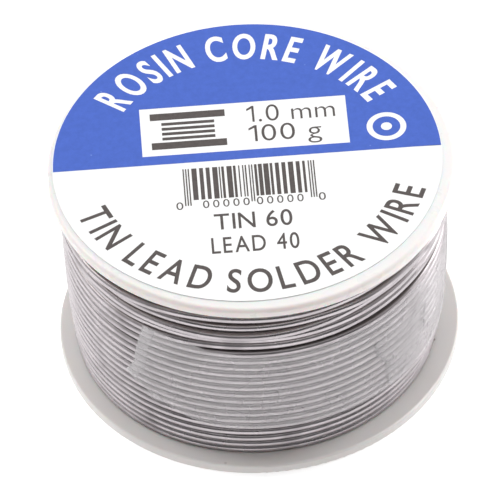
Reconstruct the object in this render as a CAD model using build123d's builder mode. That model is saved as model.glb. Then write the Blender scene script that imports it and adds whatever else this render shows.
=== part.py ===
from build123d import *
import math
import os

# A 100 g spool of 1 mm solder wire, standing on its lower flange, in millimetres.
# The origin is the centre of the underside, and +Z runs up the spool's axis.
# The spool is two mouldings: a body (lower flange, drum, hub tube and ribs) and an upper
# flange whose spigot plugs into the drum.  One wire is wound on the drum in seven layers.

# Spool body and upper flange
flange_diameter = 44.0
overall_height = 25.6
flange_thickness = 1.2
upper_rim_radius = 0.5
lower_rim_radius = 0.2
drum_diameter = 28.0
drum_wall = 1.4
bore_diameter = 12.0
bore_lead_in = 0.4
hub_wall = 1.2
rib_count = 6
rib_thickness = 1.0
rib_end_gap = 0.2
spigot_depth = 3.0
spigot_wall = 1.2
spigot_lead_in = 0.4
seat_clearance = 0.05

# Wire
wire_diameter = 1.0
flux_core_diameter = 0.38
core_clearance = 0.01
layer_count = 7
outer_layer_turns = 22
layer_rise_at_bottom = 0.85
layer_rise_at_top = 0.98
scallop_depth = 0.45
layer_gap = 0.02
flange_gap = 0.05

# Start of the wire, which goes in through a slot at the foot of the drum
start_slot_width = 1.6
start_slot_height = 1.9
start_slot_angle = 210.0
start_tail_reach = 3.4
start_tail_bend = 1.5
start_tail_height = 6.0

# Free end of the wire, which crosses the back of the winding down to the tape
free_end_from = 15.0
free_end_to = 145.0
free_end_top = 23.2
free_end_bottom = 12.0
free_end_radius = 21.42

# Clear tape
tape_thickness = 0.06
tape_bottom = 5.7
tape_width = 11.8
tape_radius = 20.98
tape_start = -130.0
tape_rise_start = 58.0
tape_raised_radius = 21.965
tape_raised_start = 66.0
tape_raised_end = 150.0
tape_fall_end = 158.0
tape_end = 164.0
overlap_start = -50.0
overlap_end = 40.0
overlap_gap = 0.02

# Paper label, stuck on a little off the spool's centre
label_diameter = 42.0
label_thickness = 0.1
label_centre = (-0.43, 0.40)

# Worked out from the dimensions above
flange_radius = flange_diameter / 2
drum_radius = drum_diameter / 2
drum_inside_radius = drum_radius - drum_wall
bore_radius = bore_diameter / 2
hub_radius = bore_radius + hub_wall
wire_radius = wire_diameter / 2
winding_bottom = flange_thickness
winding_top = overall_height - flange_thickness
winding_width = winding_top - winding_bottom
rib_span = drum_inside_radius - hub_radius
rib_top = winding_top - rib_end_gap


def layer_radius(layer, at_top):
    """Outer radius of a layer of wire beside the upper or the lower flange; layer 0 is the drum."""
    rise = layer_rise_at_top if at_top else layer_rise_at_bottom
    if layer == 0:
        return drum_radius
    return drum_radius + wire_diameter + rise * (layer - 1)


def on_circle(radius, degrees, height=0.0):
    """Point at an angle round the spool's axis."""
    angle = math.radians(degrees)
    return (radius * math.cos(angle), radius * math.sin(angle), height)


# ---- spool body: lower flange, drum, hub tube and ribs in one moulding ----
with BuildPart() as spool_body:
    with BuildSketch(Plane.XY):
        Circle(flange_radius)
    extrude(amount=flange_thickness)
    rim_edges = spool_body.edges().filter_by(GeomType.CIRCLE)
    fillet(rim_edges, radius=lower_rim_radius)
    with BuildSketch(Plane.XY.offset(flange_thickness)):
        Circle(drum_radius)
        Circle(drum_inside_radius, mode=Mode.SUBTRACT)
    extrude(amount=winding_width)
    with BuildSketch(Plane.XY.offset(flange_thickness)):
        Circle(hub_radius)
    extrude(amount=overall_height - flange_thickness)
    # The ribs run out from the hub tube and a little way into the drum wall.
    with BuildSketch(Plane.XY.offset(flange_thickness)):
        with PolarLocations(hub_radius + rib_span / 2, rib_count):
            Rectangle(rib_span + drum_wall, rib_thickness)
    extrude(amount=rib_top - flange_thickness)
    with BuildSketch(Plane.XY):
        Circle(bore_radius)
    extrude(amount=overall_height, mode=Mode.SUBTRACT)
    mouth = spool_body.edges().filter_by(GeomType.CIRCLE).filter_by_position(Axis.Z, 0, 0)
    chamfer(mouth.sort_by(SortBy.RADIUS)[0], length=bore_lead_in)
    # Slot at the foot of the drum, where the start of the wire goes in.
    slot_plane = Plane(
        origin=on_circle(drum_inside_radius - drum_wall, start_slot_angle, flange_thickness),
        z_dir=on_circle(1.0, start_slot_angle),
        x_dir=(0, 0, 1),
    )
    with BuildSketch(slot_plane):
        Rectangle(start_slot_height, start_slot_width, align=(Align.MIN, Align.CENTER))
    extrude(amount=drum_wall * 3, mode=Mode.SUBTRACT)

# ---- upper flange: disc with a rounded rim, and a spigot notched for the ribs ----
spigot_radius = drum_inside_radius - seat_clearance
with BuildPart() as upper_flange:
    with BuildSketch(Plane.XY.offset(winding_top)):
        Circle(flange_radius)
    extrude(amount=flange_thickness)
    crown_edge = upper_flange.edges().filter_by(GeomType.CIRCLE).sort_by(Axis.Z)[-1]
    fillet(crown_edge, radius=upper_rim_radius)
    foot_edge = upper_flange.edges().filter_by(GeomType.CIRCLE).sort_by(Axis.Z)[0]
    fillet(foot_edge, radius=lower_rim_radius)
    with BuildSketch(Plane.XY.offset(winding_top)):
        Circle(spigot_radius)
        Circle(spigot_radius - spigot_wall, mode=Mode.SUBTRACT)
    extrude(amount=-spigot_depth)
    spigot_edges = upper_flange.edges().filter_by(GeomType.CIRCLE).group_by(Axis.Z)[0]
    chamfer(spigot_edges.sort_by(SortBy.RADIUS)[-1], length=spigot_lead_in)
    with BuildSketch(Plane.XY.offset(winding_top - spigot_depth)):
        with PolarLocations(spigot_radius - spigot_wall / 2, rib_count):
            Rectangle(spigot_wall * 2, rib_thickness + 2 * rib_end_gap)
    extrude(amount=spigot_depth, mode=Mode.SUBTRACT)
    with BuildSketch(Plane.XY.offset(winding_top)):
        Circle(hub_radius + seat_clearance)
    extrude(amount=flange_thickness, mode=Mode.SUBTRACT)

# ---- paper label ----
with BuildPart() as top_label:
    with BuildSketch(Plane.XY.offset(overall_height)):
        with Locations(label_centre):
            Circle(label_diameter / 2)
    extrude(amount=label_thickness)

# ---- hidden layers of wire, each a sleeve that holds its turns ----
sleeve_bottom = winding_bottom + flange_gap
sleeve_top = winding_top - flange_gap
solder_layers = []
for layer in range(1, layer_count):
    with BuildPart() as sleeve:
        with BuildSketch(Plane.XZ):
            with BuildLine():
                Polyline(
                    (layer_radius(layer - 1, False) + layer_gap, sleeve_bottom),
                    (layer_radius(layer, False), sleeve_bottom),
                    (layer_radius(layer, True), sleeve_top),
                    (layer_radius(layer - 1, True) + layer_gap, sleeve_top),
                    close=True,
                )
            make_face()
        revolve(axis=Axis.Z)
    solder_layers.append(sleeve)

# ---- outermost layer of wire, with a ridge for each turn ----
turn_pitch = (sleeve_top - sleeve_bottom) / outer_layer_turns
with BuildPart() as outer_layer:
    with BuildSketch(Plane.XZ):
        with BuildLine():
            bottom_crest = layer_radius(layer_count, False)
            crest_rise = layer_radius(layer_count, True) - bottom_crest
            for turn in range(outer_layer_turns):
                share_low = turn / outer_layer_turns
                share_mid = (turn + 0.5) / outer_layer_turns
                share_high = (turn + 1) / outer_layer_turns
                foot = sleeve_bottom + turn * turn_pitch
                ThreePointArc(
                    (bottom_crest + crest_rise * share_low - scallop_depth, foot),
                    (bottom_crest + crest_rise * share_mid, foot + turn_pitch / 2),
                    (bottom_crest + crest_rise * share_high - scallop_depth, foot + turn_pitch),
                )
            Polyline(
                (layer_radius(layer_count, True) - scallop_depth, sleeve_top),
                (layer_radius(layer_count - 1, True) + layer_gap, sleeve_top),
                (layer_radius(layer_count - 1, False) + layer_gap, sleeve_bottom),
                (bottom_crest - scallop_depth, sleeve_bottom),
            )
        make_face()
    revolve(axis=Axis.Z)
solder_layers.append(outer_layer)

# ---- start of the wire: in through the slot, then up inside the drum ----
tail_height = winding_bottom + flange_gap + wire_radius
tail_plane = Plane(
    origin=on_circle(drum_radius, start_slot_angle, tail_height),
    x_dir=on_circle(-1.0, start_slot_angle),
    z_dir=on_circle(1.0, start_slot_angle + 90),
)
with BuildLine(tail_plane) as tail_path:
    FilletPolyline(
        (0, 0),
        (start_tail_reach, 0),
        (start_tail_reach, start_tail_height),
        radius=start_tail_bend,
    )
with BuildPart() as wire_start_tail:
    with BuildSketch(Plane(origin=tail_path.line @ 0, z_dir=tail_path.line % 0)):
        Circle(wire_radius)
        Circle(flux_core_diameter / 2, mode=Mode.SUBTRACT)
    sweep(path=tail_path.line)

# ---- free end of the wire: a steep helix, falling the way the wire was wound ----
free_end_turn = abs(free_end_from - free_end_to) / 360
free_end_fall = free_end_top - free_end_bottom
with BuildLine() as free_path:
    free_helix = Helix(
        pitch=free_end_fall / free_end_turn,
        height=free_end_fall,
        radius=free_end_radius,
        center=(0, 0, free_end_bottom),
        lefthand=True,
        mode=Mode.PRIVATE,
    )
    add(free_helix.rotate(Axis.Z, free_end_to))
with BuildPart() as wire_free_end:
    with BuildSketch(Plane(origin=free_path.line @ 0, z_dir=free_path.line % 0)):
        Circle(wire_radius)
        Circle(flux_core_diameter / 2, mode=Mode.SUBTRACT)
    sweep(path=free_path.line)

# ---- rosin flux core, in the wire's start and in its free end ----
core_radius = flux_core_diameter / 2 - core_clearance
with BuildPart() as flux_core:
    with BuildSketch(Plane(origin=tail_path.line @ 0, z_dir=tail_path.line % 0)):
        Circle(core_radius)
    sweep(path=tail_path.line)
    with BuildSketch(Plane(origin=free_path.line @ 0, z_dir=free_path.line % 0)):
        Circle(core_radius)
    sweep(path=free_path.line)

# ---- clear tape: one length that rides up over the free end, and one that overlaps it ----
with BuildPart() as tape_strip:
    with BuildSketch(Plane.XY.offset(tape_bottom)):
        with BuildLine():
            CenterArc((0, 0), tape_radius, tape_start, tape_rise_start - tape_start)
            Line(
                on_circle(tape_radius, tape_rise_start),
                on_circle(tape_raised_radius, tape_raised_start),
            )
            CenterArc(
                (0, 0), tape_raised_radius, tape_raised_start, tape_raised_end - tape_raised_start
            )
            Line(
                on_circle(tape_raised_radius, tape_raised_end),
                on_circle(tape_radius, tape_fall_end),
            )
            CenterArc((0, 0), tape_radius, tape_fall_end, tape_end - tape_fall_end)
        trace(line_width=tape_thickness)
    extrude(amount=tape_width)

overlap_radius = tape_radius + tape_thickness + overlap_gap
with BuildPart() as tape_overlap:
    with BuildSketch(Plane.XY.offset(tape_bottom)):
        with BuildLine():
            CenterArc((0, 0), overlap_radius, overlap_start, overlap_end - overlap_start)
        trace(line_width=tape_thickness)
    extrude(amount=tape_width)

# ---- one STEP file for each piece ----
pieces = {
    "spool_body": spool_body,
    "upper_flange": upper_flange,
    "top_label": top_label,
    "wire_start_tail": wire_start_tail,
    "wire_free_end": wire_free_end,
    "flux_core": flux_core,
    "tape_strip": tape_strip,
    "tape_overlap": tape_overlap,
}
for number, sleeve in enumerate(solder_layers, start=1):
    pieces[f"solder_layer_{number}"] = sleeve

os.makedirs("parts", exist_ok=True)
for name, piece in pieces.items():
    piece.part.label = name
    export_step(piece.part, f"parts/{name}.step")
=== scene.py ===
import math

import bpy
import numpy as np
from mathutils import Matrix, Vector


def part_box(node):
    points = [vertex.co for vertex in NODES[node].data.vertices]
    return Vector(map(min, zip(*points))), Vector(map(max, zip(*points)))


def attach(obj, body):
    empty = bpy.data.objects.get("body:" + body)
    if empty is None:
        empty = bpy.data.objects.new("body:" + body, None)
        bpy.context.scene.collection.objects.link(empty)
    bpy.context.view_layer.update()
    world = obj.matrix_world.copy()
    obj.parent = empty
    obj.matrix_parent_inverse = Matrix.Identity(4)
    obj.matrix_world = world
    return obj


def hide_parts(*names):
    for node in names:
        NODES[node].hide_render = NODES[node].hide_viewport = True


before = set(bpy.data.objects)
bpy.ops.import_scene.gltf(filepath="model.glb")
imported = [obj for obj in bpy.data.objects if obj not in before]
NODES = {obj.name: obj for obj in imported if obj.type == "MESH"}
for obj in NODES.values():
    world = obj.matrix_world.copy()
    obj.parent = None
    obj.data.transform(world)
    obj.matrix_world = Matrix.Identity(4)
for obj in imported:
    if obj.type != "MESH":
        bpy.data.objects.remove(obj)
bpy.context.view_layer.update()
MM = 0.001

# ---------------------------------------------------------------- sizes, in millimetres, from the CAD boxes
body_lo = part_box("spool_body")[0] / MM
flange_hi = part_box("upper_flange")[1] / MM
label_lo, label_hi = (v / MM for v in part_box("top_label"))

WIRE_R = 0.5
CORE_R = 0.19
PLATE = 1.2
PLATE_GAP = 0.02
LOW_FACE = body_lo.z + PLATE
HIGH_FACE = flange_hi.z - PLATE
LOWEST = LOW_FACE + WIRE_R + PLATE_GAP
HIGHEST = HIGH_FACE - WIRE_R - PLATE_GAP
LABEL_C = (label_lo + label_hi) / 2
LABEL_R = (label_hi.x - label_lo.x) / 2
LABEL_TOP = label_hi.z
# The label is stuck on a little turned.
PRINT_TURN = math.radians(1.76)

# Samples along one turn of a wire that is seen, and of one that is hidden.
STEPS = 216
INNER_STEPS = 72
LAYERS = 7
OUTER_TURNS = 22
INNER_TURNS = 22
# Where each layer goes over into the next, which is at the back, and where the wire comes through the drum,
# which is hidden under the winding, in degrees.
CHANGE_AT = -260.0
WIRE_START = -150.0

rng = np.random.default_rng(41)


# ---------------------------------------------------------------- camera and light
def make_camera():
    """The photograph's view: from the front, 46 degrees above the floor, from far away."""
    distance = 646.0
    azimuth = math.radians(0.08)
    elevation = math.radians(45.94)
    roll = math.radians(-2.905)
    aim = Vector((-0.625, 0.0, 12.069))
    back = Vector((
        math.sin(azimuth) * math.cos(elevation),
        -math.cos(azimuth) * math.cos(elevation),
        math.sin(elevation),
    ))
    look = -back
    right = look.cross(Vector((0, 0, 1))).normalized()
    up = right.cross(look)
    right, up = (
        right * math.cos(roll) + up * math.sin(roll),
        up * math.cos(roll) - right * math.sin(roll),
    )
    data = bpy.data.cameras.new("camera")
    data.lens = 426.4
    data.sensor_width = 36.0
    data.clip_start = 0.05
    data.clip_end = 20.0
    camera = bpy.data.objects.new("camera", data)
    bpy.context.scene.collection.objects.link(camera)
    turn = Matrix((right, up, back)).transposed().to_4x4()
    camera.matrix_world = Matrix.Translation((aim + back * distance) * MM) @ turn
    bpy.context.scene.camera = camera


def soft_box(name, place, width, height, power):
    """A white studio lamp that points at the middle of the spool. Its place and sizes are in metres."""
    aim = Vector((0, 0, 0.015))
    data = bpy.data.lights.new(name, "AREA")
    data.shape = "RECTANGLE"
    data.size = width
    data.size_y = height
    data.energy = power
    light = bpy.data.objects.new(name, data)
    bpy.context.scene.collection.objects.link(light)
    light.location = place
    light.rotation_mode = "QUATERNION"
    light.rotation_quaternion = (aim - Vector(place)).to_track_quat("-Z", "Y")


def make_room():
    """A white room that is brighter behind the spool than in front, and dim low down in front."""
    world = bpy.data.worlds.new("studio")
    bpy.context.scene.world = world
    world.use_nodes = True
    tree = world.node_tree
    split = tree.nodes.new("ShaderNodeSeparateXYZ")
    direction = tree.nodes.new("ShaderNodeTexCoord")
    tree.links.new(direction.outputs["Generated"], split.inputs["Vector"])

    def span(axis, low, high, to_low, to_high):
        node = tree.nodes.new("ShaderNodeMapRange")
        node.inputs["From Min"].default_value = low
        node.inputs["From Max"].default_value = high
        node.inputs["To Min"].default_value = to_low
        node.inputs["To Max"].default_value = to_high
        tree.links.new(split.outputs[axis], node.inputs["Value"])
        return node.outputs["Result"]

    def combine(kind, first, second):
        node = tree.nodes.new("ShaderNodeMath")
        node.operation = kind
        for socket, value in zip(node.inputs, (first, second)):
            if isinstance(value, float):
                socket.default_value = value
            else:
                tree.links.new(value, socket)
        return node.outputs["Value"]

    behind = span("Y", -1.0, 1.0, 0.33, 0.80)
    front = span("Y", -0.25, -0.65, 0.0, 0.9)
    low = span("Z", 0.82, 0.50, 0.0, 1.0)
    undimmed = combine("SUBTRACT", 1.0, combine("MULTIPLY", front, low))
    background = tree.nodes["Background"]
    background.inputs["Color"].default_value = (1.0, 1.0, 1.0, 1)
    tree.links.new(combine("MULTIPLY", behind, undimmed), background.inputs["Strength"])


def make_floor():
    """A plain pale floor just under the spool, 6 m wide."""
    half = 3.0
    z = (body_lo.z - 0.03) * MM
    corners = [(-half, -half, z), (half, -half, z), (half, half, z), (-half, half, z)]
    mesh = bpy.data.meshes.new("floor")
    mesh.from_pydata(corners, [], [(0, 1, 2, 3)])
    floor = bpy.data.objects.new("floor", mesh)
    bpy.context.scene.collection.objects.link(floor)
    mat = bpy.data.materials.new("pale_floor")
    mat.use_nodes = True
    shader = mat.node_tree.nodes["Principled BSDF"]
    shader.inputs["Base Color"].default_value = (0.9, 0.9, 0.9, 1)
    shader.inputs["Roughness"].default_value = 0.9
    shader.inputs["Emission Color"].default_value = (1, 1, 1, 1)
    shader.inputs["Emission Strength"].default_value = 0.45
    mesh.materials.append(mat)


def make_studio():
    bpy.context.scene.view_settings.view_transform = "Standard"
    make_room()
    soft_box("overhead", (0.0, 0.14, 0.55), 0.45, 0.30, 0.6)
    soft_box("left_side", (-0.40, 0.16, 0.44), 0.26, 0.26, 1.25)
    soft_box("right_side", (0.50, 0.22, 0.25), 0.30, 0.30, 2.0)
    soft_box("front_strip", (0.0, -0.34, 0.54), 0.60, 0.08, 0.32)
    make_floor()


# ---------------------------------------------------------------- materials
class Nodes:
    """A material's node tree, with short ways to add nodes."""

    def __init__(self, name):
        self.mat = bpy.data.materials.new(name)
        self.mat.use_nodes = True
        self.tree = self.mat.node_tree
        self.shader = self.tree.nodes["Principled BSDF"]
        self.where = self.tree.nodes.new("ShaderNodeTexCoord").outputs["Object"]

    def set(self, **values):
        for key, value in values.items():
            self.shader.inputs[key.replace("_", " ")].default_value = value

    def link(self, a, b):
        self.tree.links.new(a, b)

    def stretched(self, scale):
        node = self.tree.nodes.new("ShaderNodeMapping")
        node.inputs["Scale"].default_value = scale
        self.link(self.where, node.inputs["Vector"])
        return node.outputs["Vector"]

    def noise(self, scale, detail, rough=0.5, vector=None):
        node = self.tree.nodes.new("ShaderNodeTexNoise")
        node.inputs["Scale"].default_value = scale
        node.inputs["Detail"].default_value = detail
        node.inputs["Roughness"].default_value = rough
        self.link(vector or self.where, node.inputs["Vector"])
        return node.outputs["Fac"]

    def spots(self, scale):
        node = self.tree.nodes.new("ShaderNodeTexVoronoi")
        node.inputs["Scale"].default_value = scale
        self.link(self.where, node.inputs["Vector"])
        return node.outputs["Distance"]

    def height(self, vector):
        """The z of a place or a direction."""
        node = self.tree.nodes.new("ShaderNodeSeparateXYZ")
        self.link(vector, node.inputs["Vector"])
        return node.outputs["Z"]

    def upward(self):
        """How far the surface faces up or down: 0 on a wound wire's side, 1 in the groove between two."""
        normal = self.tree.nodes.new("ShaderNodeNewGeometry").outputs["Normal"]
        node = self.tree.nodes.new("ShaderNodeMath")
        node.operation = "ABSOLUTE"
        self.link(self.height(normal), node.inputs[0])
        return node.outputs["Value"]

    def span(self, value, low, high, to_low=0.0, to_high=1.0):
        node = self.tree.nodes.new("ShaderNodeMapRange")
        node.inputs["From Min"].default_value = low
        node.inputs["From Max"].default_value = high
        node.inputs["To Min"].default_value = to_low
        node.inputs["To Max"].default_value = to_high
        self.link(value, node.inputs["Value"])
        return node.outputs["Result"]

    def mix(self, factor, a, b):
        node = self.tree.nodes.new("ShaderNodeMix")
        node.data_type = "RGBA"
        self.link(factor, node.inputs["Factor"])
        for socket, value in ((node.inputs[6], a), (node.inputs[7], b)):
            if isinstance(value, tuple):
                socket.default_value = (*value, 1)
            else:
                self.link(value, socket)
        return node.outputs[2]

    def colour(self, value):
        self.link(value, self.shader.inputs["Base Color"])

    def rough(self, value):
        self.link(value, self.shader.inputs["Roughness"])

    def bump(self, height, distance, strength):
        node = self.tree.nodes.new("ShaderNodeBump")
        node.inputs["Strength"].default_value = strength
        node.inputs["Distance"].default_value = distance
        self.link(height, node.inputs["Height"])
        self.link(node.outputs["Normal"], self.shader.inputs["Normal"])


def solder_material(name, metallic, painted_light_gain):
    """Dull grey tin and lead. Oxide and painted shade darken the grooves between touching turns, and less so
    higher
    up, where the turns are loose: the painted shade stands in for the shadow between the turns. The gain
    scales all the tones; above 1 it is painted light."""
    # Painted light: the gain lightens every tone, so that a lighter copy of the solder brightens the dark
    # gaps.
    dark, light, stain = (
        tuple(painted_light_gain * v for v in tone)
        for tone in ((0.41, 0.378, 0.392), (0.585, 0.542, 0.562), (0.355, 0.325, 0.337))
    )
    packed, loose = (0.065, 0.054, 0.054), (0.24, 0.205, 0.20)
    m = Nodes(name)
    streaks = m.noise(260, 4, 0.6, m.stretched((1, 1, 14)))
    patches = m.noise(190, 3, 0.55)
    tone = m.mix(m.span(streaks, 0.3, 0.7), dark, light)
    tone = m.mix(m.span(patches, 0.56, 0.72), tone, stain)
    # Painted shade and oxide: where the surface faces up or down the colour goes to a dark groove colour,
    # which stands in for the shadow between turns. It is lighter above 17 to 19.5 mm.
    groove_oxide_and_shade = m.mix(m.span(m.height(m.where), 17 * MM, 19.5 * MM), packed, loose)
    dull_and_shaded = m.span(m.upward(), 0.70, 0.93)
    m.colour(m.mix(dull_and_shaded, tone, groove_oxide_and_shade))
    m.link(m.span(dull_and_shaded, 0, 1, metallic, 0.3), m.shader.inputs["Metallic"])
    m.rough(m.span(patches, 0.3, 0.7, 0.22, 0.34))
    m.bump(m.noise(2600, 3, 0.6, m.stretched((1, 1, 5))), 0.00001, 0.35)
    return m.mat


def rosin_material():
    m = Nodes("rosin_flux")
    clouds = m.span(m.noise(4000, 2), 0.3, 0.7)
    m.colour(m.mix(clouds, (0.42, 0.22, 0.06), (0.58, 0.34, 0.10)))
    m.set(Roughness=0.25)
    return m.mat


def plastic_material(name, light, dark, roughness, depth, specks):
    """Moulded polystyrene, a little translucent. Specks are dark dots on the lower flange's upper face, each
    with its x, y, radius and strength."""
    m = Nodes(name)
    clouds = m.span(m.noise(70, 4, 0.6), 0.3, 0.7)
    colour = m.mix(clouds, light, dark)
    for x, y, size, strength in specks:
        node = m.tree.nodes.new("ShaderNodeVectorMath")
        node.operation = "DISTANCE"
        m.link(m.where, node.inputs[0])
        node.inputs[1].default_value = (x * MM, y * MM, LOW_FACE * MM)
        near = m.span(node.outputs["Value"], size * MM, size * MM * 0.5, 0.0, strength)
        colour = m.mix(near, colour, (0.10, 0.085, 0.07))
    m.colour(colour)
    m.rough(m.span(m.noise(420, 3), 0.3, 0.7, roughness - 0.05, roughness + 0.07))
    m.set(Subsurface_Weight=depth, Subsurface_Scale=0.0015, IOR=1.5)
    m.bump(m.noise(900, 2, 0.5), 0.00002, 0.35)
    return m.mat


def paper_material():
    m = Nodes("label_paper")
    fibres = m.span(m.noise(2200, 4, 0.6), 0.3, 0.7)
    m.colour(m.mix(fibres, (0.93, 0.93, 0.925), (0.88, 0.88, 0.875)))
    m.rough(m.span(m.noise(600, 3), 0.3, 0.7, 0.50, 0.62))
    m.set(Specular_IOR_Level=0.3)
    m.bump(m.noise(3000, 4, 0.6), 0.00001, 0.3)
    return m.mat


def blue_material():
    m = Nodes("blue_ink")
    grain = m.span(m.noise(1500, 4, 0.7), 0.3, 0.7)
    tone = m.mix(grain, (0.053, 0.117, 0.49), (0.066, 0.139, 0.565))
    m.colour(m.mix(m.span(m.spots(420), 0.06, 0.03), tone, (0.16, 0.26, 0.64)))
    m.rough(m.span(grain, 0, 1, 0.52, 0.62))
    m.set(Specular_IOR_Level=0.3)
    return m.mat


def dark_material():
    m = Nodes("dark_ink")
    grain = m.span(m.noise(2400, 3, 0.6), 0.3, 0.7)
    m.colour(m.mix(grain, (0.076, 0.064, 0.062), (0.102, 0.087, 0.082)))
    m.rough(m.span(m.noise(900, 2), 0.3, 0.7, 0.52, 0.62))
    m.set(Specular_IOR_Level=0.3)
    return m.mat


def tape_material(name, alpha):
    """Clear film with a milky haze from its adhesive."""
    m = Nodes(name)
    haze = m.noise(160, 4, 0.6, m.stretched((1, 1, 0.6)))
    m.colour(m.mix(m.span(haze, 0.35, 0.65), (0.95, 0.92, 0.935), (0.84, 0.81, 0.825)))
    m.rough(m.span(haze, 0.3, 0.7, 0.16, 0.30))
    m.set(Alpha=alpha)
    m.bump(m.noise(700, 3, 0.5), 0.00003, 0.5)
    return m.mat


# ---------------------------------------------------------------- meshes
def add_mesh(name, verts, faces, material):
    mesh = bpy.data.meshes.new(name)
    mesh.from_pydata([tuple(v) for v in verts], [], faces)
    mesh.polygons.foreach_set("use_smooth", np.ones(len(faces), dtype=bool))
    mesh.materials.append(material)
    mesh.update()
    piece = bpy.data.objects.new(name, mesh)
    bpy.context.scene.collection.objects.link(piece)
    return piece


# The rings that round off a wire's end, as parts of its radius: how far past the end, and how wide.
END_RINGS = ((0.2, 0.86), (0.0, 0.97))


def wire_mesh(name, centres, radius, sides, material):
    """A round wire along centres (millimetres), with rounded ends."""
    centres = np.asarray(centres, float)
    ahead = np.gradient(centres, axis=0)
    ahead /= np.linalg.norm(ahead, axis=1)[:, None]
    out = centres * (1, 1, 0)
    out /= np.linalg.norm(out, axis=1)[:, None]
    out -= ahead * np.sum(out * ahead, axis=1)[:, None]
    out /= np.linalg.norm(out, axis=1)[:, None]
    side = np.cross(ahead, out)

    def end_ring(end, reach, width):
        return centres[end] + ahead[end] * radius * reach, out[end], side[end], radius * width

    rings = [end_ring(0, -reach, width) for reach, width in END_RINGS]
    rings += [(c, o, s, radius) for c, o, s in zip(centres, out, side)]
    rings += [end_ring(-1, reach, width) for reach, width in reversed(END_RINGS)]
    turn = np.arange(sides) * 2 * math.pi / sides
    outward = np.cos(turn)[:, None]
    sideways = np.sin(turn)[:, None]
    verts = np.concatenate([c + r * (outward * o + sideways * s) for c, o, s, r in rings])
    faces = []
    for i in range(len(rings) - 1):
        a, b = i * sides, (i + 1) * sides
        for j in range(sides):
            k = (j + 1) % sides
            faces.append((a + j, a + k, b + k, b + j))
    faces.append(tuple(range(sides - 1, -1, -1)))
    last = (len(rings) - 1) * sides
    faces.append(tuple(range(last, last + sides)))
    return add_mesh(name, verts * MM, faces, material)


# ---------------------------------------------------------------- the winding
def ramp(x):
    """A smooth step from 0 to 1."""
    x = np.clip(x, 0, 1)
    return x * x * (3 - 2 * x)


# Radius of the wire's centre in the first layer, on the drum, and in the last one where it is fullest.
FIRST_R = 14.5
FULL_R = 20.45
# At its foot the winding falls short of that, least at one angle and most opposite. This fades with height
# above the lowest turn.
FOOT_SHORT = 0.85
FOOT_OFF_CENTRE = 0.37
FOOT_FULLEST_AT = -140
FOOT_TURN_Z = 1.7
FOOT_FADE = 4.5
# Degrees over which a wire climbs from one layer to the next.
CLIMB = 30


def layer_radius(layer, angle, z):
    """Radius of the wire's centre: the winding is fuller towards the top, and its foot is off centre."""
    foot = FOOT_SHORT + FOOT_OFF_CENTRE * (1 - np.cos(np.radians(angle - FOOT_FULLEST_AT)))
    outer = FULL_R - foot * np.exp(-(z - FOOT_TURN_Z) / FOOT_FADE)
    return FIRST_R + (outer - FIRST_R) * (layer - 1) / (LAYERS - 1)


def inner_layer(layer, steps):
    """Angles (degrees, growing along the wire), radii and heights of one hidden layer."""
    first = WIRE_START if layer == 1 else CHANGE_AT
    last = CHANGE_AT + 360.0 * INNER_TURNS
    count = int(round((last - first) / 360.0 * steps))
    angle = first + (last - first) * np.arange(count + 1) / count
    turns = (angle - first) / 360.0
    # Half a turn lies flat against each flange.
    rise = np.clip((turns - 0.5) / (turns[-1] - 1.0), 0, 1)
    if layer % 2 == 0:
        rise = 1 - rise
    z = LOWEST + (HIGHEST - LOWEST) * rise
    r = layer_radius(layer, angle, z)
    step_up = layer_radius(layer + 1, angle, z) - r
    r = r + 0.5 * step_up * ramp((angle - (last - CLIMB)) / CLIMB)
    if layer > 1:
        step_down = r - layer_radius(layer - 1, angle, z)
        r = r - 0.5 * step_down * ramp((first + CLIMB - angle) / CLIMB)
    return angle, r, z


# Heights of the loose top turns, in millimetres, at these angles across the front.
FRONT = (-150, -135, -120, -105, -90, -75, -60, -45, -30)
TOP_TURNS = {
    14: (16.1, 16.2, 16.3, 16.4, 16.4, 16.45, 16.5, 16.6, 16.75),
    15: (17.2, 17.2, 17.3, 17.35, 17.45, 17.45, 17.5, 17.6, 17.9),
    16: (18.3, 18.1, 18.4, 18.8, 18.95, 18.97, 19.2, 19.45, 19.8),
    17: (19.7, 19.1, 19.3, 19.7, 19.75, 19.9, 20.2, 20.4, 20.7),
    18: (20.9, 19.85, 19.8, 20.3, 20.35, 20.5, 21.0, 21.2, 21.6),
    19: (21.4, 21.2, 21.5, 21.35, 21.35, 21.6, 22.05, 22.3, 22.6),
    20: (22.0, 21.9, 22.3, 22.75, 22.7, 22.75, 22.95, 23.2, 23.5),
    21: (23.3, 23.4, 23.6, 23.85, 23.88, 23.88, 23.88, 23.88, 23.88),
}
# Where a turn rides up on the one below: turn, angle, half width in degrees, lift in millimetres.
RIDES = ((20, -142, 18, 0.35), (18, -98, 16, 0.4))
# The even turns below: height of the lowest at the front, distance between turns, and how much they sink
# towards the left, which the lowest ones do less.
EVEN_Z = 1.70
EVEN_PITCH = 1.05
EVEN_SINK = 0.4
SINK_TURNS = 7
SINK_SHAPE = (1.0, 0.98, 0.6, 0.25, 0.0)
# How much they rise towards the right: the lowest one, and what each turn adds.
EVEN_LIFT = 0.05
LIFT_GROWTH = 0.004
LIFT_SHAPE = (0.5, 1.0, 1.8, 2.6)
# No turn is quite straight: how far they wander up and down, in millimetres.
WANDER = 0.035


def outer_targets():
    """Where each turn of the outer layer would lie, before the turns push each other apart."""
    at, height = [], []
    for k in range(OUTER_TURNS):
        if k in TOP_TURNS:
            row = TOP_TURNS[k]
        else:
            middle = EVEN_Z + EVEN_PITCH * k
            sink = EVEN_SINK * min(1.0, k / SINK_TURNS)
            lift = EVEN_LIFT + LIFT_GROWTH * k
            row = [middle - sink * s for s in SINK_SHAPE]
            row += [middle + lift * s for s in LIFT_SHAPE]
        for a, h in zip(FRONT, row):
            at.append(a + 360 * k)
            height.append(h)
    return np.array(at, float), np.array(height)


ROUNDS = 260
# How strongly a round pulls a turn to its target, at first, and how far it straightens the wire.
HOLD = 0.05
STIFFNESS = 0.35
# Degrees over which the outer layer comes up out of the one below.
COME_UP = 35


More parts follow.
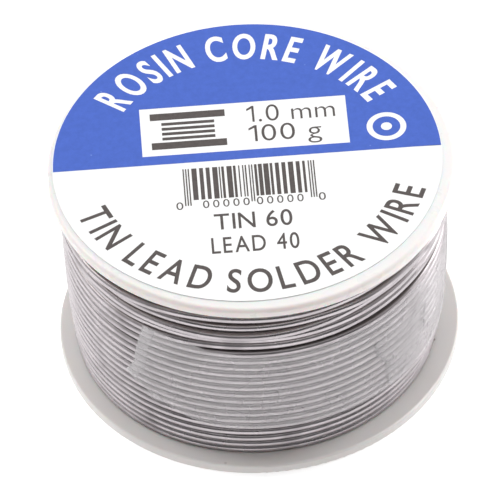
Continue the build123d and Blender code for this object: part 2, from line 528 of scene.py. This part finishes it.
def settle_outer_layer():
    """The outer layer as touching wires. Each sample is pushed off its neighbours, off the layer below and
    off the flanges, and the wire's stiffness keeps it smooth. Returns angle, radius and height along it."""
    last = int(round(((OUTER_TURNS - 1) * 360.0 - CHANGE_AT) / 360 * STEPS))
    index = np.arange(OUTER_TURNS * STEPS)
    angle = CHANGE_AT + index * 360.0 / STEPS
    live = index <= last
    at, height = outer_targets()
    z = np.interp(angle, at, height)
    waves = sum(
        rng.normal(0, 0.5) * np.sin(np.radians(angle) * rng.uniform(1.3, 9.0) + rng.uniform(0, 6.3))
        for _ in range(14)
    )
    z = np.clip(z + WANDER * waves, LOWEST, HIGHEST)
    r = layer_radius(LAYERS, angle, z)
    for k, a, width, lift in RIDES:
        r = r + lift * np.exp(-(((angle - a - 360 * k) / width) ** 2))
    want_r, want_z = r.copy(), z.copy()

    in_angle, in_r, in_z = inner_layer(LAYERS - 1, STEPS)
    in_index = np.round((in_angle - CHANGE_AT) / 360 * STEPS).astype(int)
    rows = in_index.max() // STEPS + 1
    below_r = np.full((rows, STEPS), -99.0)
    below_z = np.full((rows, STEPS), -99.0)
    below_r[in_index // STEPS, in_index % STEPS] = in_r
    below_z[in_index // STEPS, in_index % STEPS] = in_z

    wide = 2 * WIRE_R + 0.01
    shape = (OUTER_TURNS, STEPS)
    alive = live.reshape(shape)
    for step in range(ROUNDS):
        hold = HOLD * (1 - step / ROUNDS)
        r += hold * (want_r - r)
        z += hold * 1.5 * (want_z - z)
        for x in (r, z):
            x[1:last] += STIFFNESS * (0.5 * (x[:last - 1] + x[2:last + 1]) - x[1:last])
        a, b = r.reshape(shape), z.reshape(shape)
        for gap in (1, 2):
            dr, dz = a[gap:] - a[:-gap], b[gap:] - b[:-gap]
            far = np.hypot(dr, dz) + 1e-9
            push = np.where(alive[gap:] & alive[:-gap] & (far < wide), (wide - far) / far * 0.5, 0)
            a[gap:] += dr * push
            a[:-gap] -= dr * push
            b[gap:] += dz * push
            b[:-gap] -= dz * push
        for row_r, row_z in zip(below_r, below_z):
            dr, dz = a - row_r, b - row_z
            far = np.hypot(dr, dz) + 1e-9
            push = np.where(far < wide, (wide - far) / far, 0)
            a += dr * push
            b += dz * push
        np.clip(b, LOWEST, HIGHEST, out=b)
    # The wire comes up out of the layer below beside the lower flange.
    rising = ramp((CHANGE_AT + COME_UP - angle) / COME_UP)
    r += (in_r[-1] - r) * rising
    z += (in_z[-1] - z) * rising
    return angle[live], r[live], z[live]


# The last stretch of wire, in degrees and millimetres: where it starts down, where it ends under the tape,
# and how it rides up onto the turns.
FREE_FALLS_FROM = 10
FREE_END = 145
FREE_END_Z = 12.0
FREE_R = 21.42
FREE_CLIMB = 26


def free_end_path():
    """The last of the wire: it leaves the top turn on the right, rides up on the turns and comes down
    across the back."""
    angle = np.arange(0.0, FREE_END + 0.01, 360.0 / STEPS)
    fall = ((angle - FREE_FALLS_FROM).clip(0) / (FREE_END - FREE_FALLS_FROM)) ** 1.08
    z = HIGHEST + (FREE_END_Z - HIGHEST) * fall
    start_r = layer_radius(LAYERS, 0.0, HIGHEST)
    r = start_r + (FREE_R - start_r) * ramp(angle / FREE_CLIMB)
    return angle, r, z


def points(angle, r, z):
    t = np.radians(angle)
    return np.stack([r * np.cos(t), r * np.sin(t), z], axis=1)


# ---------------------------------------------------------------- tape
FILM_THICKNESS = 0.05
# A stretched film leaves a crest at this slope.
FILM_SLOPE = 0.16
# Over the wire's free end it forms a tent: its sides' slope, the flat on top, and the degrees in which it
# closes past the end.
TENT_SLOPE = 0.75
TENT_FLAT = 0.35
TENT_END = 4


class Winding:
    """The wound surface that the tape lies on."""

    def __init__(self, angle, r, z, free):
        self.angle, self.r, self.z = angle, r, z
        self.free = free
        self.grid = np.arange(LOW_FACE, HIGH_FACE, 0.05)

    def crests(self, theta):
        """Height of the wires' outer surface over self.grid at one angle."""
        turns = theta + 360.0 * np.arange(-1, OUTER_TURNS)
        turns = turns[(turns >= self.angle[0]) & (turns <= self.angle[-1])]
        r = np.interp(turns, self.angle, self.r)[:, None]
        z = np.interp(turns, self.angle, self.z)[:, None]
        inside = WIRE_R ** 2 - (self.grid[None] - z) ** 2
        return np.where(inside > 0, r + np.sqrt(np.maximum(inside, 0)), 0).max(axis=0)

    def film(self, theta):
        """Radius of a film stretched over the wires: it bridges from crest to crest and sags a little."""
        surface = self.crests(theta)
        reach = np.abs(self.grid[:, None] - self.grid[None])
        held = (surface[None] - FILM_SLOPE * reach).max(axis=1)
        angle, r, z = self.free
        tent_stop = angle[-1] + TENT_END
        if angle[0] <= theta <= tent_stop:
            fade = ramp((tent_stop - theta) / TENT_END)
            top = np.interp(theta, angle, r) + WIRE_R
            away = np.abs(self.grid - np.interp(theta, angle, z))
            tent = top - TENT_SLOPE * np.maximum(away - TENT_FLAT, 0)
            held = np.maximum(held, held + (tent - held) * fade)
        kernel = np.ones(9) / 9
        padded = np.pad(held, 4, mode="edge")
        smooth = np.convolve(padded, kernel, mode="valid")
        return np.maximum(smooth, held - 0.02)


def between(pairs, x):
    """The second value at x of pairs whose first values grow."""
    return np.interp(x, [p[0] for p in pairs], [p[1] for p in pairs])


def film_patch(winding, left, right, bottom, top, lift, columns, rows):
    """A piece of film that lies lift above the wound surface. Left and right are (height, angle) lists,
    bottom and top are (angle, height) lists. Returns the vertices and faces of a closed thin sheet."""
    a0, a1 = np.mean([p[1] for p in left]), np.mean([p[1] for p in right])
    grid = np.zeros((columns + 1, rows + 1, 3))
    films = {}
    for i in range(columns + 1):
        for j in range(rows + 1):
            u, v = i / columns, j / rows
            guess = a0 + (a1 - a0) * u
            z = (1 - v) * between(bottom, guess) + v * between(top, guess)
            theta = between(left, z) + (between(right, z) - between(left, z)) * u
            z = (1 - v) * between(bottom, theta) + v * between(top, theta)
            # The film's outline is worked out every half degree.
            key = round(theta * 2)
            if key not in films:
                films[key] = winding.film(key / 2)
            grid[i, j] = theta, np.interp(z, winding.grid, films[key]) + lift, z
    r = grid[:, :, 1]
    for _ in range(3):
        r[1:-1] = 0.25 * r[:-2] + 0.5 * r[1:-1] + 0.25 * r[2:]
    t = np.radians(grid[:, :, 0])
    inner = np.stack([r * np.cos(t), r * np.sin(t), grid[:, :, 2]], axis=2)
    r = r + FILM_THICKNESS
    outer = np.stack([r * np.cos(t), r * np.sin(t), grid[:, :, 2]], axis=2)
    verts = np.concatenate([inner.reshape(-1, 3), outer.reshape(-1, 3)])
    wide = rows + 1
    shift = (columns + 1) * wide
    faces = []
    for i in range(columns):
        for j in range(rows):
            a = i * wide + j
            b = a + wide
            c = b + 1
            d = a + 1
            faces.append((a + shift, b + shift, c + shift, d + shift))
            faces.append((d, c, b, a))
    rim = [i * wide for i in range(columns + 1)]
    rim += [columns * wide + j for j in range(1, rows + 1)]
    rim += [i * wide + rows for i in range(columns - 1, -1, -1)]
    rim += [j for j in range(rows - 1, 0, -1)]
    for a, b in zip(rim, rim[1:] + rim[:1]):
        faces.append((a, b, b + shift, a + shift))
    return verts, faces


def join_patches(name, patches, material):
    verts, faces = [], []
    for v, f in patches:
        start = sum(len(x) for x in verts)
        verts.append(v)
        faces += [tuple(start + i for i in face) for face in f]
    return add_mesh(name, np.concatenate(verts) * MM, faces, material)


# ---------------------------------------------------------------- printed label
def polygon(corners):
    """A straight-sided outline. An outline is a list of bezier points: left handle, place, right handle."""
    return [tuple(Vector((x, y, 0)) for _ in range(3)) for x, y in corners]


def rectangle(x0, y0, x1, y1):
    return polygon([(x0, y0), (x1, y0), (x1, y1), (x0, y1)])


def circle(x, y, r):
    turns = [2 * math.pi * i / 48 for i in range(48)]
    return polygon([(x + r * math.cos(a), y + r * math.sin(a)) for a in turns])


# The font's cap height at size 1, and the distance under which two of its points are one.
CAP = 0.682
SAME_POINT = 0.002


def glyph(char):
    """Outlines of one letter of the built-in font at size 1, and its left and right edge."""
    data = bpy.data.curves.new("glyph", "FONT")
    data.body = char
    text = bpy.data.objects.new("glyph", data)
    bpy.context.scene.collection.objects.link(text)
    bpy.context.view_layer.update()
    curve = text.to_curve(bpy.context.evaluated_depsgraph_get())
    outlines = []
    for spline in curve.splines:
        outline = []
        for p in spline.bezier_points:
            left, co, right = (v.copy().to_3d() for v in (p.handle_left, p.co, p.handle_right))
            if outline and (outline[-1][1] - co).length < SAME_POINT:
                outline[-1] = (outline[-1][0], co, right)
            else:
                outline.append((left, co, right))
        outlines.append(outline)
    text.to_curve_clear()
    bpy.data.objects.remove(text)
    bpy.data.curves.remove(data)
    xs = [p[1].x for o in outlines for p in o]
    return (outlines, min(xs), max(xs)) if xs else ([], 0.0, 0.0)


# A plain 1 without a foot; the other characters are added as they are used.
ONE = [(0.17, 0.0), (0.26, 0.0), (0.26, CAP), (0.18, CAP), (0.0, 0.56), (0.0, 0.46), (0.17, 0.56)]
GLYPHS = {"1": ([polygon(ONE)], 0.0, 0.26)}


def letters(text, cap, track, space, length):
    """Letters set side by side over the length given, in millimetres, with the cap height given. Returns, for
    each one, its outlines and left edge in the font, where it starts, its width and its scale across, and
    then the scale of all their heights."""
    size = cap / CAP
    for char in text:
        if char != " " and char not in GLYPHS:
            GLYPHS[char] = glyph(char)
    gaps = sum(track for a, b in zip(text, text[1:]) if " " not in (a, b)) + space * text.count(" ")
    natural = sum((GLYPHS[c][2] - GLYPHS[c][1]) * size for c in text if c != " ")
    squeeze = (length - gaps) / natural
    made, x = [], 0.0
    for char, after in zip(text, text[1:] + " "):
        if char == " ":
            x += space
            continue
        outlines, lo, hi = GLYPHS[char]
        wide = (hi - lo) * size * squeeze
        made.append((outlines, lo, x, wide, size * squeeze))
        x += wide + (0 if after == " " else track)
    return made, size


def place_line(text, cap, left, base, length, track=0.35, space=1.2):
    """A straight line of text that fills the length given. Here and below, x and y are millimetres from the
    label's centre, with the label upright."""
    made, size = letters(text, cap, track, space, length)
    out = []
    for outlines, lo, x, _, across in made:
        move = Matrix.Translation((left + x, base, 0)) @ Matrix.Diagonal((across, size, 1, 1))
        shape = move @ Matrix.Translation((-lo, 0, 0))
        out += [[tuple(shape @ p for p in q) for q in o] for o in outlines]
    return out


def place_arc(text, cap, radius, start, end, inward, track, space):
    """Text on a circle round the label's centre, from one angle to the other (degrees). Its tops point to
    the centre if inward, and away from it if not."""
    closest = radius - cap if inward else radius
    length = abs(math.radians(end - start)) * closest
    made, size = letters(text, cap, track, space, length)
    out = []
    for outlines, lo, x, wide, across in made:
        a = math.radians(start + (end - start) * (x + wide / 2) / length)
        turn = a + math.pi / 2 if inward else a - math.pi / 2
        place = Matrix.Translation((radius * math.cos(a), radius * math.sin(a), 0))
        scale = Matrix.Diagonal((across, size, 1, 1))
        middle = Matrix.Translation((-lo - wide / across / 2, 0, 0))
        shape = place @ Matrix.Rotation(turn, 4, "Z") @ scale @ middle
        out += [[tuple(shape @ p for p in q) for q in o] for o in outlines]
    return out


INK_HALF = 0.008
INK_LIFT = 0.004


def print_ink(name, outlines, material, swell=0.0):
    """A thin layer of ink on the label. An outline inside another is a hole. Swell thickens the strokes."""
    data = bpy.data.curves.new(name, "CURVE")
    data.dimensions = "2D"
    data.fill_mode = "BOTH"
    data.resolution_u = 6
    data.extrude = INK_HALF * MM
    data.offset = swell * MM
    for outline in outlines:
        spline = data.splines.new("BEZIER")
        spline.bezier_points.add(len(outline) - 1)
        for point, (left, co, right) in zip(spline.bezier_points, outline):
            point.handle_left_type = point.handle_right_type = "FREE"
            point.co = co * MM
            point.handle_left = left * MM
            point.handle_right = right * MM
        spline.use_cyclic_u = True
    curve = bpy.data.objects.new(name + "_outline", data)
    bpy.context.scene.collection.objects.link(curve)
    bpy.context.view_layer.update()
    evaluated = curve.evaluated_get(bpy.context.evaluated_depsgraph_get())
    mesh = bpy.data.meshes.new_from_object(evaluated)
    bpy.data.objects.remove(curve)
    mesh.name = name
    place = Matrix.Translation((LABEL_C.x * MM, LABEL_C.y * MM, (LABEL_TOP + INK_LIFT) * MM))
    mesh.transform(place @ Matrix.Rotation(PRINT_TURN, 4, "Z"))
    mesh.materials.clear()
    mesh.materials.append(material)
    piece = bpy.data.objects.new(name, mesh)
    bpy.context.scene.collection.objects.link(piece)
    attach(piece, "root")


# The blue ink is shrunk by this, which makes the letters cut out of it bolder. The field, its window and its
# mark are drawn that much off, so that they come out true.
BLUE_SHRINK = 0.11
BLUE_EDGE = 0.08
BLUE_FOOT = 0.1


def make_blue_field(ink):
    """The blue upper half, with a window, white letters, and a plain mark of a wire's section and core."""
    edge = LABEL_R - BLUE_EDGE + BLUE_SHRINK
    first = math.asin((BLUE_FOOT - BLUE_SHRINK) / edge)
    arc = [first + (math.pi - 2 * first) * i / 96 for i in range(97)]
    field = polygon([(edge * math.cos(a), edge * math.sin(a)) for a in arc])
    window = rectangle(-11.2 + BLUE_SHRINK, 1.43 + BLUE_SHRINK, 11.2 - BLUE_SHRINK, 8.72 - BLUE_SHRINK)
    title = place_arc("ROSIN CORE WIRE", 3.75, 15.55, 146.0, 29.0, False, 0.7, 1.8)
    radii = (2.15 - BLUE_SHRINK, 1.5 + BLUE_SHRINK, 0.6 - BLUE_SHRINK)
    mark = [circle(15.3, 3.5, r) for r in radii]
    print_ink("label_blue_field", [field, window] + title + mark, ink, -BLUE_SHRINK)


def make_dark_print(ink):
    """A plain pictogram of a spool seen from the side, and generic words for the wire."""
    spool = [rectangle(-10.1, 6.85, -2.0, 7.85), rectangle(-10.1, 2.4, -2.0, 3.4)]
    spool += [rectangle(-8.9, 3.75 + 0.75 * i, -3.2, 4.15 + 0.75 * i) for i in range(4)]
    mixture = place_line("TIN 60", 2.3, -4.1, -10.25, 8.3)
    mixture += place_line("LEAD 40", 2.3, -4.6, -13.75, 9.3)
    print_ink("label_dark_print", spool + mixture, ink, 0.015)
    sizes = place_line("1.0 mm", 2.5, 0.35, 5.6, 9.6, 0.4, 1.3)
    sizes += place_line("100 g", 2.5, 0.4, 2.6, 7.9, 0.4, 1.3)
    print_ink("label_sizes", sizes, ink, -0.03)
    band = place_arc("TIN LEAD SOLDER WIRE", 3.3, 19.75, -161.0, -18.5, True, 0.5, 1.5)
    print_ink("label_band", band, ink, 0.045)


BAR = 0.14
BAR_TOP = -0.85
BAR_FOOT = -5.6
GUARD_FOOT = -6.4
GUARDS = (-7.05, -6.77, -6.49, 0.05, 0.33, 6.42, 6.70, 6.98)
DIGIT = 1.1
DIGIT_FOOT = -6.9


def make_bars(ink):
    """Made-up bars: guards at both ends and in the middle, and between them random bars that say nothing."""
    draw = np.random.default_rng(7)
    bars = [rectangle(x, GUARD_FOOT, x + BAR, BAR_TOP) for x in GUARDS]
    for start, stop in ((-6.1, -0.2), (0.65, 6.2)):
        x = start
        while x < stop:
            wide = BAR * draw.integers(1, 5)
            bars.append(rectangle(x, BAR_FOOT, min(x + wide, stop), BAR_TOP))
            x += wide + BAR * draw.integers(1, 3)
    digits = []
    for left in (-5.15, 0.62):
        digits += place_line("00000", DIGIT, left, DIGIT_FOOT, 5.0, 0.4)
    for left in (-8.0, 7.25):
        digits += place_line("0", DIGIT, left, DIGIT_FOOT, 0.75)
    print_ink("label_bars", bars + digits, ink)


def make_label():
    dark = dark_material()
    make_blue_field(blue_material())
    make_dark_print(dark)
    make_bars(dark)


# ---------------------------------------------------------------- the object
def give_material(node, material):
    NODES[node].material_slots[0].material = material


# Samples over which the last stretch takes over from the end of the outer layer.
JOIN = 12


def make_wire():
    """The whole wire, layer by layer. Returns the surface that the tape is wound on."""
    solder = solder_material("solder_metal", 0.92, 1.0)
    # A lighter, less metallic copy of the solder for the hidden layers: painted light that lifts the dark
    # gaps between the outer turns.
    lightened_inside = solder_material("solder_metal_inside_lightened", 0.35, 1.35)
    rosin = rosin_material()
    for layer in range(1, LAYERS):
        # Only the last of these layers is seen between the outer turns.
        steps, sides = (STEPS, 10) if layer == LAYERS - 1 else (INNER_STEPS, 6)
        centres = points(*inner_layer(layer, steps))
        piece = wire_mesh(f"wire_layer_{layer}", centres, WIRE_R, sides, lightened_inside)
        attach(piece, "root")
        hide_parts(f"solder_layer_{layer}")
    angle, r, z = settle_outer_layer()
    free = free_end_path()
    blend = ramp(np.arange(JOIN) / (JOIN - 1))
    for own, end in ((free[1], r[-1]), (free[2], z[-1])):
        own[:JOIN] = end + (own[:JOIN] - end) * blend
    piece = wire_mesh("wire_layer_7", points(angle, r, z), WIRE_R, 14, solder)
    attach(piece, "root")
    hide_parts("solder_layer_7")
    piece = wire_mesh("wire_last_stretch", points(*free), WIRE_R, 16, solder)
    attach(piece, "root")
    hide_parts("wire_free_end")
    give_material("wire_start_tail", solder)
    piece = wire_mesh("rosin_core_end", points(*(x[-6:] for x in free)), CORE_R, 10, rosin)
    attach(piece, "root")
    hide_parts("flux_core")
    return Winding(angle, r, z, free)


def make_tape(winding):
    """Two lengths of clear tape: their cut ends and edges follow the photograph where it shows them."""
    film = tape_material("clear_film", 0.17)
    thin = tape_material("clear_film_second", 0.07)
    left = [(7.0, -134.5), (9.7, -134), (12, -131), (15.5, -129), (19, -126)]
    end = [(5.7, 163.5), (9, 164.2), (13, 163.4), (17.5, 164.0)]
    bottom = [
        (-134, 10.1), (-130, 9.2), (-123, 7.9), (-116, 6.9), (-110, 6.1), (-102, 5.8), (-60, 5.75),
        (164, 5.7),
    ]
    top = [
        (-134, 18.9), (-126, 18.9), (-110, 18.7), (-105, 17.9), (-100, 18.0), (-92, 17.5), (-87, 17.3),
        (-60, 17.7), (-50, 17.8), (-35, 17.9), (-27, 17.4), (0, 17.5), (164, 17.5),
    ]
    main = film_patch(winding, left, end, bottom, top, 0.03, 250, 110)
    # The end is folded back on itself, and a scrap of film is caught below it.
    fold_end = [(z, a + 4.2) for z, a in left]
    fold = film_patch(winding, left, fold_end, bottom, top, 0.09, 6, 110)
    scrap = film_patch(
        winding,
        [(7.4, -127), (8.6, -128.5)],
        [(7.4, -120.5), (8.6, -122)],
        [(-128, 7.9), (-124, 7.45), (-120, 7.7)],
        [(-128, 8.3), (-123, 8.7), (-120, 8.2)],
        0.09, 8, 6,
    )
    piece = join_patches("tape_wrap", [main, fold, scrap], film)
    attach(piece, "root")
    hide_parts("tape_strip")

    left = [(5.7, -48.5), (6.6, -49), (9.8, -50), (12.5, -53.8), (14, -54.5), (15, -53)]
    right = [(5.7, 40), (17.4, 40.6)]
    bottom = [(-55, 6.5), (-48, 6.2), (-30, 5.8), (40, 5.7)]
    top = [(-55, 14.3), (-45, 14.7), (-35, 15.2), (-20, 16.2), (-5, 17.0), (40, 17.2)]
    patch = film_patch(winding, left, right, bottom, top, 0.10, 90, 96)
    # Its left edge and a crease stand up a little and look milkier; the milkier film there is also a painted
    # highlight, the bright line along them.
    edge = film_patch(winding, left, [(z, a + 0.9) for z, a in left], bottom, top, 0.16, 3, 96)
    crease = film_patch(
        winding,
        [(10.4, -32.7), (13.8, -32.2)],
        [(10.4, -32.1), (13.8, -31.6)],
        [(-34, 10.4), (-30, 10.5)],
        [(-34, 13.8), (-30, 13.8)],
        0.18, 2, 30,
    )
    piece = join_patches("tape_second_length", [patch, edge, crease], thin)
    piece.data.materials.append(film)
    flat_faces = len(patch[1])
    for face in piece.data.polygons[flat_faces:]:
        face.material_index = 1
    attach(piece, "root")
    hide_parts("tape_overlap")


def make_plastic():
    low = plastic_material(
        "spool_plastic", (0.78, 0.76, 0.743), (0.735, 0.715, 0.70), 0.38, 0.12,
        ((19.05, -4.55, 0.22, 0.87), (-4.4, -21.25, 0.2, 0.22)),
    )
    high = plastic_material(
        "flange_plastic_white", (0.85, 0.825, 0.815), (0.825, 0.80, 0.785), 0.30, 0.4, (),
    )
    give_material("spool_body", low)
    give_material("upper_flange", high)
    give_material("top_label", paper_material())


make_camera()
make_studio()
make_plastic()
make_label()
winding = make_wire()
make_tape(winding)
